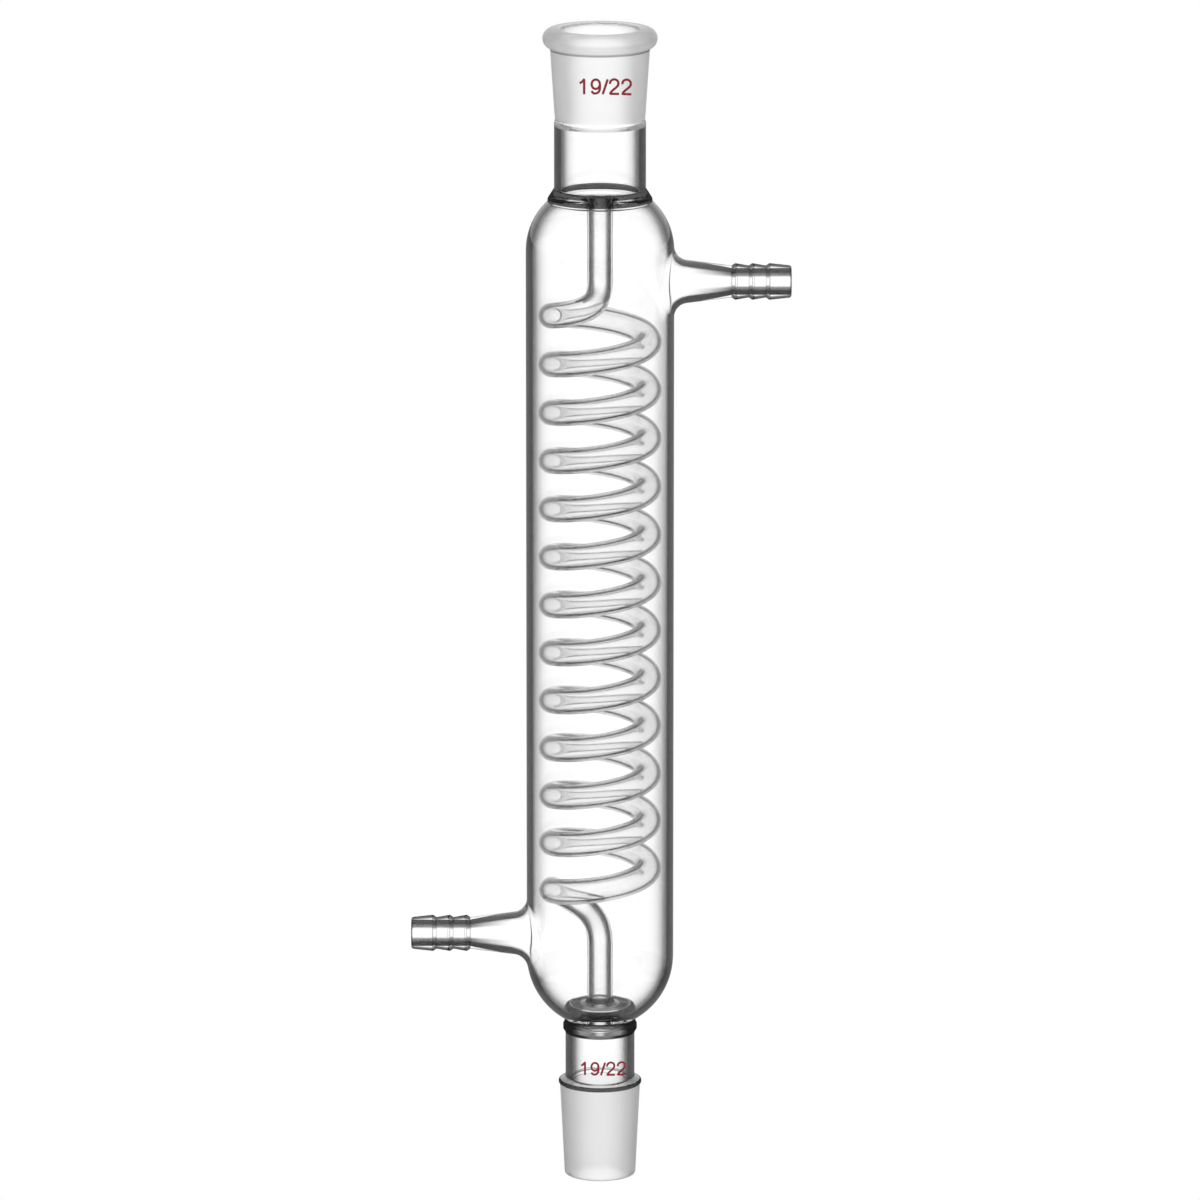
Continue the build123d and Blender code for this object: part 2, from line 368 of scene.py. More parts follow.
def cut_run(profile, start, end, axis, levels):
    """The profile, cut where its straight run from start to end crosses radii or heights."""
    along = (Vector(end) - Vector(start)).normalized()
    cut = []
    for here, after in zip(profile, profile[1:]):
        cut.append(here)
        if max(abs(along.cross(place - Vector(start))) for place in (here, after)) < OFF_LINE:
            for level in levels:
                if (here[axis] - level) * (after[axis] - level) < 0:
                    share = (here[axis] - level) / (here[axis] - after[axis])
                    cut.append(here.lerp(after, share))
    return cut + [profile[-1]]


water_profile = cut_run(
    water_profile,
    start=(inner_end_radius, inner_end_top),
    end=(tube_radius, inner_end_top),
    axis=RADIUS,
    levels=DOME_RINGS,
)
outer_profile = cut_run(
    outer_profile,
    start=(joint_radius + socket_wall, rim_foot),
    end=(small_radius + socket_wall, socket_foot + socket_slope),
    axis=HEIGHT,
    levels=[rim_foot - CREASE_WIDTH],
)
outer_profile = cut_run(
    outer_profile,
    start=(upper_neck_radius, neck_foot),
    end=(upper_bead_radius, shoulder_top + bead_edge),
    axis=HEIGHT,
    levels=[shoulder_top + PAINTED_BAND_TOP, shoulder_top + PAINTED_BAND_FOOT],
)
print("cut profiles:", len(outer_profile), "and", len(water_profile), "points")

# %% [markdown]
# ## Spin the profiles
#
# `bmesh.ops.spin` sweeps an open line of edges round the axis. Merging its last step with its
# first closes each ring.

# %% Turn both profiles
AROUND = 96


def spin(bm, profile):
    """Adds a profile to the mesh and turns it once round the upright axis."""
    corners = [bm.verts.new((point.x * MM, 0, point.y * MM)) for point in profile]
    lines = [bm.edges.new(pair) for pair in zip(corners, corners[1:])]
    bmesh.ops.spin(
        bm, geom=corners + lines, cent=(0, 0, 0), axis=(0, 0, 1),
        angle=2 * math.pi, steps=AROUND, use_merge=True, use_duplicate=False,
    )


def without_repeats(profile):
    """The profile with points left out that repeat the one before them."""
    kept = [profile[0]]
    for point in profile[1:]:
        if (point - kept[-1]).length > 1e-4:
            kept.append(point)
    return kept


def report(bm, name):
    """Prints how many faces the mesh has by now, and how many of its edges are open."""
    print(name, len(bm.faces), "faces, open edges:", sum(edge.is_boundary for edge in bm.edges))


glass = bmesh.new()
spin(glass, without_repeats(outer_profile))
report(glass, "outer surface:")

# %% [markdown]
# ## The coil
#
# The tube follows one path: straight down the axis, a bend that swings out in front, twelve
# right-handed turns, and a bend that swings back behind the coil to the axis. Each bend is a Bezier
# curve, because that meets the turns without a kink. Its control points are given as shares of the
# coil's radius and of the length of the lead.

# %% Lay out the path of the coil
TURN_STEPS, BEND_STEPS = 72, 36


def curve(points, steps):
    """Points along a Bezier curve, without its first one."""
    placed = []
    for i in range(1, steps + 1):
        level = [Vector(point) for point in points]
        while len(level) > 1:
            level = [a.lerp(b, i / steps) for a, b in zip(level, level[1:])]
        placed.append(level[0])
    return placed


def coil_path(top, bottom):
    """The centre line of the tube, from a height above the coil to one below it."""
    slope = coil_pitch / (2 * math.pi * coil_radius)
    r, head, foot = coil_radius, coil_head, coil_foot
    entry_bend = [
        (0, 0, head + entry_lead),
        (0, 0, head + 0.81 * entry_lead),
        (0, -0.055 * r, head + 0.24 * entry_lead),
        (0.07 * r, -0.76 * r, head + 0.24 * entry_lead),
        (-r, -0.72 * r, head + 0.72 * r * slope),
        (-r, 0, head),
    ]
    exit_bend = [
        (-r, 0, foot),
        (-r, 0.49 * r, foot - 0.49 * r * slope),
        (-0.565 * r, 0.705 * r, foot - 0.36 * exit_lead),
        (-0.155 * r, 0.6 * r, foot - 0.43 * exit_lead),
        (0, 0, foot - 0.55 * exit_lead),
        (0, 0, foot - exit_lead),
    ]
    turns = []
    for i in range(1, coil_turns * TURN_STEPS + 1):
        angle = math.pi - 2 * math.pi * i / TURN_STEPS
        height = head - coil_pitch * i / TURN_STEPS
        turns.append(Vector((r * math.cos(angle), r * math.sin(angle), height)))
    path = [Vector((0, 0, top)), Vector(entry_bend[0])] + curve(entry_bend, BEND_STEPS) + turns
    return path + curve(exit_bend, BEND_STEPS) + [Vector((0, 0, bottom))]


bore_path = coil_path(disc_top - 3 * bore_run, inner_end_foot + 3 * bore_run)
tube_path = coil_path(disc_foot - 1.5 * root_run, inner_end_top + 1.5 * root_run)
length = sum((b - a).length for a, b in zip(bore_path, bore_path[1:]))
print("the coil's path is", round(length), "mm long")

# %% [markdown]
# A curve with a round bevel is the short way to a tube: Blender sets its rings square to the path
# and carries them along without twisting. The curve is turned into a mesh and its open ends are
# bridged to the open rings that the spin left.

# %% Sweep the tube along its path
COIL_BORE, COIL_OUTSIDE = 1, 2


def add_tube(bm, path, radius, fineness, mark=0):
    """Adds a tube with open ends round a path, both in millimetres, and marks its faces."""
    line = bpy.data.curves.new("tube_path", "CURVE")
    line.dimensions = "3D"
    line.twist_mode = "MINIMUM"
    line.bevel_depth = radius * MM
    line.bevel_resolution = fineness
    spline = line.splines.new("POLY")
    spline.points.add(len(path) - 1)
    for point, place in zip(spline.points, path):
        point.co = (*place * MM, 1)
    holder = bpy.data.objects.new("tube_path", line)
    mesh = bpy.data.meshes.new_from_object(holder)
    for polygon in mesh.polygons:
        polygon.material_index = mark
    bm.from_mesh(mesh)
    print("tube of radius", radius, "mm:", len(mesh.vertices) // len(path), "corners round it")
    bpy.data.objects.remove(holder)
    bpy.data.curves.remove(line)
    bpy.data.meshes.remove(mesh)


def bridge_open_ends(bm):
    """Bridges the open rings of the mesh in pairs, those at the top and those at the bottom."""
    middle = (coil_head + coil_foot) / 2 * MM
    for above in (True, False):
        ends = [e for e in bm.edges if e.is_boundary and (e.verts[0].co.z > middle) == above]
        bmesh.ops.bridge_loops(bm, edges=ends)


add_tube(glass, bore_path, tube_bore, fineness=6, mark=COIL_BORE)
bridge_open_ends(glass)
report(glass, "with the bore:")

# %% [markdown]
# The bore joins both ends of the outer surface, so the vapour path is done. The water space is a
# second closed surface inside the glass, made the same way with the outside of the tube.

# %% Add the water space and the outside of the coil
spin(glass, without_repeats(water_profile))
add_tube(glass, tube_path, tube_radius, fineness=10, mark=COIL_OUTSIDE)
bridge_open_ends(glass)
report(glass, "with the water space:")

# %% [markdown]
# ## The water arms
#
# A glassblower blows a hole in the jacket and draws the arm out of its edge. The mesh is made the
# same way. A window is cut in each wall of the jacket, and the edge of the outer one is extruded
# ring by ring: up the blend, along the barb to its tip, and back down the bore. The last ring is
# bridged to a short root that grows from the inner window.

# %% Cut the windows
WINDOW_COLUMNS = 9
NEAR = 0.1


def on_jacket(place, wall):
    """True for a place on the jacket's outside, or on its inside if given its wall."""
    return abs(math.hypot(place.x, place.y) - wall_radius(place.z, wall)) < NEAR


def cut_window(bm, wall, height, side):
    """Takes out the jacket's faces where an arm joins its outer or its inner wall."""
    widest = 2 * math.pi * WINDOW_COLUMNS / AROUND
    faces = []
    for face in bm.faces:
        centre = face.calc_center_median() / MM
        beside = abs(math.atan2(centre.y, centre.x * side)) < widest
        if beside and abs(centre.z - height) < WINDOW_HALF and on_jacket(centre, wall):
            faces.append(face)
    bmesh.ops.delete(bm, geom=faces, context="FACES")
    return len(faces)


for arm_height, arm_side in ((outlet_height, 1), (inlet_height, -1)):
    for wall in (0, jacket_wall):
        print("window of", cut_window(glass, wall, arm_height, arm_side), "faces")

# %% [markdown]
# Each new ring keeps the bearing of its corners round the arm's axis. Near the jacket a corner sits
# on the curved wall, and the blend lifts it off; on the barb it sits on a plain circle.

# %% Grow a ring of edges
def window_ring(bm, wall, side):
    """The open edges round the window in one wall of the jacket, on one side."""
    ring = [edge for edge in bm.edges if edge.is_boundary and edge.verts[0].co.x * side > 0]
    return [edge for edge in ring if on_jacket(edge.verts[0].co / MM, wall)]


def next_ring(bm, ring, place):
    """Extrudes a ring of edges and moves each new corner to where place puts it."""
    made = bmesh.ops.extrude_edge_only(bm, edges=ring)["geom"]
    for part in made:
        if isinstance(part, bmesh.types.BMVert):
            part.co = place(part.co / MM) * MM
    return [part for part in made if isinstance(part, bmesh.types.BMEdge) and part.is_boundary]


def on_wall(side, height, wall, reach, lift, share=1):
    """Places a corner this far from the arm's axis, or a share of the way, lifted off the wall."""
    def place(corner):
        across, along = corner.y * side, corner.z - height
        scale = 1 + share * (reach / math.hypot(across, along) - 1)
        across, along = across * scale, along * scale
        out = math.sqrt(wall_radius(height + along, wall) ** 2 - across**2) + lift
        return Vector((side * out, side * across, height + along))
    return place


def on_barb(side, height, out, radius):
    """Places a corner on a circle round the arm's axis, this far out from the condenser's axis."""
    def place(corner):
        scale = radius / math.hypot(corner.y, corner.z - height)
        return Vector((side * out, corner.y * scale, height + (corner.z - height) * scale))
    return place


print("edges round a window:", len(window_ring(glass, 0, 1)))

# %% [markdown]
# The root is the flare where the jacket's wall turns out into the arm. A few rings first walk in
# along the wall, from the square window to a round, and then the blend climbs a quarter circle.

# %% Shape the root of an arm
WALL_SHARES = (0.3, 0.43, 0.62)
BLEND_STEPS = 8


def grow_root(bm, side, height, wall, root, blend, lean):
    """Grows the root of an arm from a window and returns its last ring."""
    ring = window_ring(bm, wall, side)
    for share in WALL_SHARES:
        ring = next_ring(bm, ring, on_wall(side, height, wall, root + blend, 0, share))
    for step in range(BLEND_STEPS + 1):
        climb = math.radians(90 * step / BLEND_STEPS)
        lift = blend * (1 - math.cos(climb))
        reach = root - lean * lift + blend * (1 - math.sin(climb))
        ring = next_ring(bm, ring, on_wall(side, height, wall, reach, lift))
    return ring


print("rings in a root:", len(WALL_SHARES) + BLEND_STEPS + 1)

# %% [markdown]
# A barb is a row of cones that a hose slides over and catches behind. Its profile runs out along
# the axis of the arm, round the tip and back down the bore.

# %% Lay out the barb
last_crest = arm_reach - barb_tip
barb_foot = last_crest - (barb_count - 1) * barb_pitch - barb_back
arm_lean = (arm_root - barb_radius) / (barb_foot - jacket_radius)
bore_lean = (arm_bore_root - barb_bore) / (barb_foot - jacket_radius)
taper_start = jacket_radius + arm_blend + taper_gap
taper_end = water_radius + bore_blend + taper_gap

barb_outline = [(taper_start, arm_root - arm_lean * (taper_start - jacket_radius), 0)]
for crest in reversed(range(barb_count)):
    crest_place = last_crest - crest * barb_pitch
    barb_outline.append((crest_place - barb_back, barb_radius, 0.2))
    barb_outline.append((crest_place, crest_radius, 0.2))
barb_outline += [
    (arm_reach, barb_radius, tip_round),
    (arm_reach, barb_bore, 0.3),
    (barb_foot, barb_bore, 0.5),
    (taper_end, arm_bore_root - bore_lean * (taper_end - jacket_radius), 0),
]
barb_profile = rounded(barb_outline, steps=4)
print("barb profile:", len(barb_profile), "points")

# %% [markdown]
# Both arms are the same, one to each side, so one function draws them. The normals are worked out
# afresh at the end, because the spin, the sweeps and the extrusions each left them their own way.

# %% Draw out both arms
def add_arm(bm, side, height):
    """Draws one arm out of its windows, along X on the given side."""
    ring = grow_root(bm, side, height, 0, arm_root, arm_blend, arm_lean)
    for out, radius in barb_profile:
        ring = next_ring(bm, ring, on_barb(side, height, out, radius))
    inner_root = arm_bore_root + bore_lean * jacket_wall
    inner_ring = grow_root(bm, side, height, jacket_wall, inner_root, bore_blend, bore_lean)
    bmesh.ops.bridge_loops(bm, edges=ring + inner_ring)


add_arm(glass, 1, outlet_height)
add_arm(glass, -1, inlet_height)
bmesh.ops.recalc_face_normals(glass, faces=glass.faces)
report(glass, "glass:")
print("volume in ml:", round(glass.calc_volume() * 1e6, 2))

# %% [markdown]
# On the real glass the jacket's wall flows into the arm without a line. The painted shade of the
# glass has to follow that, so each corner carries two numbers: how far along an arm it lies, and
# whether it lies on a cheek, the stretched and thinner glass at the front and back of an arm's
# root.

# %% Mark how far each corner belongs to an arm
ROOT_REACH = (9.0, 15.0)
TAPER_REACH = (16.8, 19.5)
BARB_REACH = (20.0, 29.0)
CHEEK_LEAN, CHEEK_FADE, CHEEK_REACH = (0.55, 0.85), (9.0, 12.0), (18.5, 21.0)
WALL_SLACK = 0.3


def eased(value, low, high):
    """A share that eases from 0 at the low value to 1 at the high one."""
    share = min(max((value - low) / (high - low), 0), 1)
    return share * share * (3 - 2 * share)


def from_arm(place):
    """The way from the axis of the nearer arm to this place."""
    return Vector((0, place.y, place.z - (outlet_height if place.x > 0 else inlet_height)))


def arm_place(corner):
    """A corner's place: 0 on the jacket, 1 in the root of an arm, 2 on its taper, 3 on its barb."""
    if math.hypot(corner.x, corner.y) < water_radius - WALL_SLACK:
        return 0
    out = abs(corner.x)
    root = 1 - eased(from_arm(corner).length, *ROOT_REACH)
    return root + eased(out, *TAPER_REACH) + eased(out, *BARB_REACH)


def cheek_share(corner):
    """1 on the cheeks of an arm's root and 0 elsewhere."""
    off_arm = from_arm(corner).length
    if math.hypot(corner.x, corner.y) < water_radius - WALL_SLACK or off_arm > CHEEK_FADE[1]:
        return 0
    to_front = eased(abs(corner.y) / off_arm, *CHEEK_LEAN)
    return to_front * (1 - eased(off_arm, *CHEEK_FADE)) * (1 - eased(abs(corner.x), *CHEEK_REACH))


place_layer = glass.verts.layers.float.new("arm_place")
cheek_layer = glass.verts.layers.float.new("arm_cheek")
for vert in glass.verts:
    vert[place_layer] = arm_place(vert.co / MM)
    vert[cheek_layer] = cheek_share(vert.co / MM)
print("corners on the arms:", sum(vert[place_layer] > 1 for vert in glass.verts))

# %% [markdown]
# ## Glass finishes and their painted shade
#
# Clear glass is seen by what it bends. A ray that runs close to the side of a tube is turned as it
# passes through the wall, and past the bore it is thrown back altogether. In a room, turned rays
# leave towards its dim sides instead of the bright backdrop, and that gives blown glass dark edges
# exactly as wide as the wall. This scene's world is even white, so those dark edges are painted
# shade: a near black mixed into the glass by the slant at which a ray meets the wall.

# %% Work out how far a tube turns a ray
GLASS_IOR = 1.47
PAINTED_SHADE_BY_TURN = (
    (0, 0.0), (5, 0.05), (7, 0.12), (9.8, 0.3), (12, 0.5), (14.7, 0.66), (17, 0.8), (30, 0.9),
    (50, 0.94), (180, 0.94),
)


def ray_turn(off, bore):
    """Degrees a ray is turned that runs past a tube's middle at this share of its outer radius."""
    outer = math.asin(off) - math.asin(off / GLASS_IOR)
    slant = math.asin(min(off / (GLASS_IOR * bore), 1))
    if off < bore:
        return math.degrees(2 * (outer - math.asin(off / bore) + slant))
    return math.degrees(2 * outer - math.pi + 2 * slant)


def painted_shade_for_turn(turn):
    """The share of painted shade for a ray that is turned away from the backdrop."""
    for (low, less), (high, more) in zip(PAINTED_SHADE_BY_TURN, PAINTED_SHADE_BY_TURN[1:]):
        if low <= abs(turn) <= high:
            return less + (more - less) * (abs(turn) - low) / (high - low)


print("turn just inside and outside a jacket's bore:", round(ray_turn(0.9, 0.913), 1),
      round(ray_turn(0.92, 0.913), 1))

# %% [markdown]
# A shader can't follow a ray through the whole tube, but it can ask at what slant the ray meets the
# wall. Every slant on the inside of a tube belongs to one place across it, so the loss worked out
# for that place becomes a stop of a colour ramp over the slant, and the ramp paints that share of
# shade.

# %% Turn the loss into stops for a ramp of painted shade
THROUGH_SHARES = (0.3, 0.5, 0.6, 0.7, 0.8, 0.86, 0.91, 0.95, 0.99)
THROWN_STEPS = 8
JUST_SHORT = 0.999
RIM_LOSS, PAST_RIM_LOSS, PAST_RIM = 0.7, 0.9, 0.03


def bore_stops(bore, least_thrown_back=0.0):
    """Stops of painted shade inside a tube whose bore is this share of its outer radius."""
    edge = min(1, GLASS_IOR * bore * JUST_SHORT)
    through = [bore * share for share in THROUGH_SHARES]
    thrown_back = [
        bore + (edge - bore) * step / THROWN_STEPS for step in range(THROWN_STEPS + 1)
    ]
    stops = []
    for off in through + thrown_back:
        slant = math.asin(min(off / (GLASS_IOR * bore), 1))
        lost = painted_shade_for_turn(ray_turn(off, bore))
        stops.append((1 - math.cos(slant), max(lost, least_thrown_back) if off >= bore else lost))
    rim = stops[-1][0]
    return stops[:-1] + [(rim, RIM_LOSS), (min(rim + PAST_RIM, 1), PAST_RIM_LOSS)]


print("stops of the jacket's ramp:", len(bore_stops(water_radius / jacket_radius)))

# %% [markdown]
# A finish is a small tree of nodes. The helpers below each add the few nodes that one thought
# needs, such as a share by slant or a mix of two shaders, so a finish reads as a list of thoughts.

# %% Helpers for node trees
def new_material(name):
    """A material with an empty node tree, and its output node."""
    material = bpy.data.materials.new(name)
    material.use_nodes = True
    material.node_tree.nodes.clear()
    return material, material.node_tree.nodes.new("ShaderNodeOutputMaterial")


def add_node(owner, kind, **values):
    """Adds a node and sets its input sockets by name, with underscores for spaces."""
    node = owner.node_tree.nodes.new(kind)
    for name, value in values.items():
        node.inputs[name.replace("_", " ")].default_value = value
    return node


def join(owner, source, target):
    """Links an output socket to an input socket."""
    owner.node_tree.links.new(source, target)


# %% Nodes that work out a number or a colour
def calculate(owner, operation, first, second):
    """The result of one sum on the values of two sockets."""
    node = add_node(owner, "ShaderNodeMath")
    node.operation = operation
    join(owner, first, node.inputs[0])
    join(owner, second, node.inputs[1])
    return node.outputs["Value"]


def stretched(owner, source, at_none, at_full):
    """A socket's share from 0 to 1, stretched between two other values."""
    node = add_node(owner, "ShaderNodeMapRange", To_Min=at_none, To_Max=at_full)
    join(owner, source, node.inputs["Value"])
    return node.outputs["Result"]


def blended(owner, share, first, second):
    """A colour between two others, which may each be a socket or a plain colour."""
    node = add_node(owner, "ShaderNodeMix")
    node.data_type = "RGBA"
    join(owner, share, node.inputs["Factor"])
    for name, colour in (("A", first), ("B", second)):
        if isinstance(colour, tuple):
            node.inputs[name].default_value = colour
        else:
            join(owner, colour, node.inputs[name])
    return node.outputs["Result"]


def corner_mark(owner, name):
    """The number that each corner of the glass carries under this name."""
    node = add_node(owner, "ShaderNodeAttribute")
    node.attribute_name = name
    return node.outputs["Fac"]


# %% Nodes that follow the surface
def share_by_slant(owner, stops):
    """A share that follows (position, share) stops by the slant at which a ray meets the wall."""
    slant = add_node(owner, "ShaderNodeLayerWeight", Blend=0.5)
    ramp = add_node(owner, "ShaderNodeValToRGB")
    elements = ramp.color_ramp.elements
    while len(elements) < len(stops):
        elements.new(1.0)
    for element, (position, share) in zip(elements, stops):
        element.position = position
        element.color = (share, share, share, 1)
    join(owner, slant.outputs["Facing"], ramp.inputs["Fac"])
    return ramp.outputs["Color"]


def grain(owner, **values):
    """A fine noise in the object's own coordinates."""
    noise = add_node(owner, "ShaderNodeTexNoise", **values)
    place = add_node(owner, "ShaderNodeTexCoord")
    join(owner, place.outputs["Object"], noise.inputs["Vector"])
    return noise.outputs["Fac"]


def finish_with(owner, output, share, first, second):
    """Mixes two shaders by a share and makes the mix the material's surface."""
    mix = add_node(owner, "ShaderNodeMixShader")
    for source, target in zip((share, first, second), mix.inputs):
        join(owner, source, target)
    join(owner, mix.outputs["Shader"], output.inputs["Surface"])


# %% [markdown]
# Every clear finish is the same plain glass shader. What differs is the share of painted shade
# mixed in: a near black that stands for the dim room, which this scene doesn't have. Layer Weight
# gives the slant at which a ray meets the wall, and a ramp turns that slant into the share of
# painted shade. Most ramps count only for hits from inside the glass. Those of the thick seals
# count for hits from outside, because thick glass turns light on its way in as well. A finish with
# several ramps takes them in turn along an arm, and the thin cheeks of the arms get no painted
# shade.

# %% Make the clear finishes and their painted shade
# A near black that stands for the dim room: painted shade mixed into the clear glass.
PAINTED_SHADE_TONE = (0.012, 0.012, 0.013, 1)


def bare_glass(material, roughness):
    """The glass shader of every finish, smooth or rough."""
    return add_node(
        material, "ShaderNodeBsdfPrincipled", Base_Color=(1, 1, 1, 1), Roughness=roughness,
        IOR=GLASS_IOR, Transmission_Weight=1.0,
    )


def painted_shade_share(material, ramps):
    """The share of painted shade, from one ramp, or from several in turn along an arm."""
    lost = share_by_slant(material, ramps[0])
    for step, stops in enumerate(ramps[1:]):
        share = add_node(material, "ShaderNodeMapRange", From_Min=step, From_Max=step + 1)
        join(material, corner_mark(material, "arm_place"), share.inputs["Value"])
        lost = blended(material, share.outputs["Result"], lost, share_by_slant(material, stops))
    return lost


def counted_hits(material, lost, hits):
    """The share of painted shade for hits from inside the glass, from outside it, or for both."""
    if hits == "both":
        return lost
    inside = add_node(material, "ShaderNodeNewGeometry").outputs["Backfacing"]
    counted = stretched(material, inside, 1.0, 0.0) if hits == "outside" else inside
    return calculate(material, "MULTIPLY", lost, counted)


def clear_glass(name, *ramps, hits="inside"):
    """A clear glass finish with painted shade mixed in by the stops of its ramps."""
    material, output = new_material(name)
    bright = bare_glass(material, 0.0).outputs["BSDF"]
    if not ramps:
        join(material, bright, output.inputs["Surface"])
        return material
    dark = add_node(material, "ShaderNodeBsdfDiffuse", Color=PAINTED_SHADE_TONE).outputs["BSDF"]
    lost = counted_hits(material, painted_shade_share(material, ramps), hits)
    if len(ramps) > 1:
        off_cheek = stretched(material, corner_mark(material, "arm_cheek"), 1.0, 0.0)
        lost = calculate(material, "MULTIPLY", lost, off_cheek)
    finish_with(material, output, lost, bright, dark)
    return material


# Ramp stops of painted shade, each a slant and the share of the near black, for one part of the
# glass.
TURN_STOPS = (
    (0.0, 0.04), (0.08, 0.1), (0.16, 0.2), (0.22, 0.26), (0.25, 0.45), (0.27, 0.93), (0.3, 0.85),
    (0.36, 0.63), (0.45, 0.36), (0.55, 0.22), (0.65, 0.35), (0.8, 0.45), (1.0, 0.5),
)
ROOT_STOPS = ((0.0, 0.0), (0.17, 0.05), (0.24, 0.4), (0.27, 0.93), (1.0, 0.95))
BARB_STOPS = ((0.05, 0.03), (0.085, 0.5), (0.11, 0.75), (0.16, 0.8), (0.27, 0.95), (1.0, 0.95))
RIM_STOPS = ((0.35, 0.0), (0.5, 0.85), (1.0, 0.93))
STEP_STOPS = ((0.0, 0.55), (0.5, 0.8), (1.0, 0.9))
SEAL_STOPS = ((0.0, 0.9), (1.0, 0.95))
PAINTED_BAND_STOPS = (
    (0.022, 0.1), (0.035, 0.3), (0.045, 0.93), (0.1, 0.9), (0.14, 0.45), (0.24, 0.45), (0.3, 0.93),
)
BEAD_STOPS = ((0.022, 0.05), (0.03, 0.3), (0.045, 0.8), (0.2, 0.7), (0.4, 0.9), (1.0, 0.93))
DOME_STOPS = ((0.0, 0.7), (1.0, 0.7))
finishes_and_painted_shade = {
    "outside": clear_glass("clear_glass"),
    "jacket": clear_glass(
        "jacket_wall_glass", bore_stops(water_radius / jacket_radius, 0.95), ROOT_STOPS,
        ROOT_STOPS, BARB_STOPS,
    ),
    "upper neck": clear_glass("upper_neck_glass", bore_stops(upper_bore / upper_neck_radius, 0.95)),
    "lower neck": clear_glass("lower_neck_glass", bore_stops(lower_bore / lower_neck_radius, 0.93)),
    "lead": clear_glass("coil_lead_glass", bore_stops(tube_bore / tube_radius)),
    "turn": clear_glass("coil_turn_glass", TURN_STOPS),
    "barb": clear_glass("barb_glass", RIM_STOPS, hits="outside"),
    "step": clear_glass("barb_step_glass", STEP_STOPS, hits="both"),
    "seal": clear_glass("ring_seal_glass", SEAL_STOPS, hits="outside"),
    "painted_band": clear_glass("ring_seal_painted_dark_band", PAINTED_BAND_STOPS, hits="outside"),
    "bead": clear_glass("lower_bead_glass", BEAD_STOPS, hits="both"),
    "corner": clear_glass("seal_corner_glass", SEAL_STOPS, hits="outside"),
    "dome": clear_glass("dome_ring_glass", DOME_STOPS, hits="outside"),
}
print("clear finishes:", ", ".join(finishes_and_painted_shade))

# %% [markdown]
# The two joints are ground with grit, so they pass light but scatter it. Seen straight on they
# glow, and seen at a slant they turn grey. The grey diffuse mixed in by the slant is partly real
# scatter and partly painted shade for the light behind them that gets through less. The cone is
# ground on its outside alone, and coarser. The socket's bore is ground finer than its outside, and
# a darker grey ring in the crease under the rim is painted shade, where little light gets through.

# %% Ground glass
def ground_glass(name, roughness, scatter_and_shade_tone, stops):
    """Frosted glass that turns to grey scatter and painted shade by ramp stops at a slant."""
    material, output = new_material(name)
    frosted = bare_glass(material, roughness)
    scatter_and_shade = add_node(material, "ShaderNodeBsdfDiffuse", Color=(scatter_and_shade_tone, scatter_and_shade_tone, scatter_and_shade_tone, 1))
    bump = add_node(material, "ShaderNodeBump", Strength=0.1, Distance=0.00002)
    join(material, grain(material, Scale=9000.0, Detail=2.0, Roughness=0.6), bump.inputs["Height"])
    join(material, bump.outputs["Normal"], frosted.inputs["Normal"])
    slant = share_by_slant(material, stops)
    finish_with(material, output, slant, frosted.outputs["BSDF"], scatter_and_shade.outputs["BSDF"])
    return material


CONE_STOPS = ((0.02, 0.11), (0.134, 0.24), (0.27, 0.42), (0.5, 0.6), (0.7, 0.75), (0.95, 0.92))
SOCKET_STOPS = ((0.02, 0.0), (0.1, 0.02), (0.4, 0.25), (0.7, 0.6), (0.95, 0.9))
# The crease's ring turns a darker grey: painted shade in the crease under the rim.
CREASE_STOPS = ((0.0, 0.6), (1.0, 0.8))
finishes_and_painted_shade |= {
    "ground cone": ground_glass("ground_cone_glass", 0.45, 0.5, CONE_STOPS),
    "ground socket": ground_glass("ground_socket_glass", 0.34, 0.55, SOCKET_STOPS),
    "ground bore": ground_glass("ground_bore_glass", 0.27, 0.55, SOCKET_STOPS),
    "crease": ground_glass("rim_crease_painted_shade", 0.34, 0.2, CREASE_STOPS),
}
print("all finishes:", len(finishes_and_painted_shade))

# %% [markdown]
# One glass piece carries all the finishes, and with them their painted shade. Each face takes the
# finish of the part of the condenser that it belongs to, found from its height and its distance
# from the axis, both in millimetres. On a barb the way a face points tells too: steps and the tip
# lean in or out along the arm, and get their own painted shade.

# %% Tell the parts of an arm apart
INSIDE_WALL, OUTSIDE_WALL = 0.15, 0.05
STEP_LEAN, TIP_LEAN = (-0.5, -0.08), 0.6


def arm_finish_and_shade(centre, normal):
    """The finish and painted shade of a face on the jacket's wall or on an arm."""
    reach = math.hypot(centre.x, centre.y)
    in_bore = reach > jacket_radius + OUTSIDE_WALL and from_arm(centre).dot(normal) < 0
    if reach < jacket_radius - INSIDE_WALL or in_bore:
        return "jacket"
    if reach < barb_foot:
        return "outside"
    out = normal.x if centre.x > 0 else -normal.x
    return "step" if STEP_LEAN[0] < out < STEP_LEAN[1] or out > TIP_LEAN else "barb"


# %% Tell apart the rings of painted shade on the two seals
CORNER_WIDTH = 0.5


def upper_seal_finish_and_shade(reach, height):
    """The finish and painted shade of a face between the water space and the upper neck."""
    if reach > upper_bore + NEAR:
        if height > neck_foot or height < shoulder_top + RING_FOOT:
            return "outside"
        return "painted_band" if PAINTED_BAND_FOOT < height - shoulder_top < PAINTED_BAND_TOP else "seal"
    if height > disc_top + disc_dish + disc_round:
        return "upper neck"
    in_mouth = height > disc_top + NEAR and reach < tube_bore + CORNER_WIDTH
    return "corner" if in_mouth or reach > upper_bore - CORNER_WIDTH else "outside"


def lower_seal_finish_and_shade(reach, height):
    """The finish and painted shade of a face on the lower neck's closed end, in the water space."""
    rings = ("corner", "outside", "dome", "outside", "corner")
    return rings[sum(reach < ring for ring in DOME_RINGS)]


# %% Tell all the parts of the glass apart
FROST_FOOT = 1.8
MID_WALL = 1.0
ARM_ZONE = 14


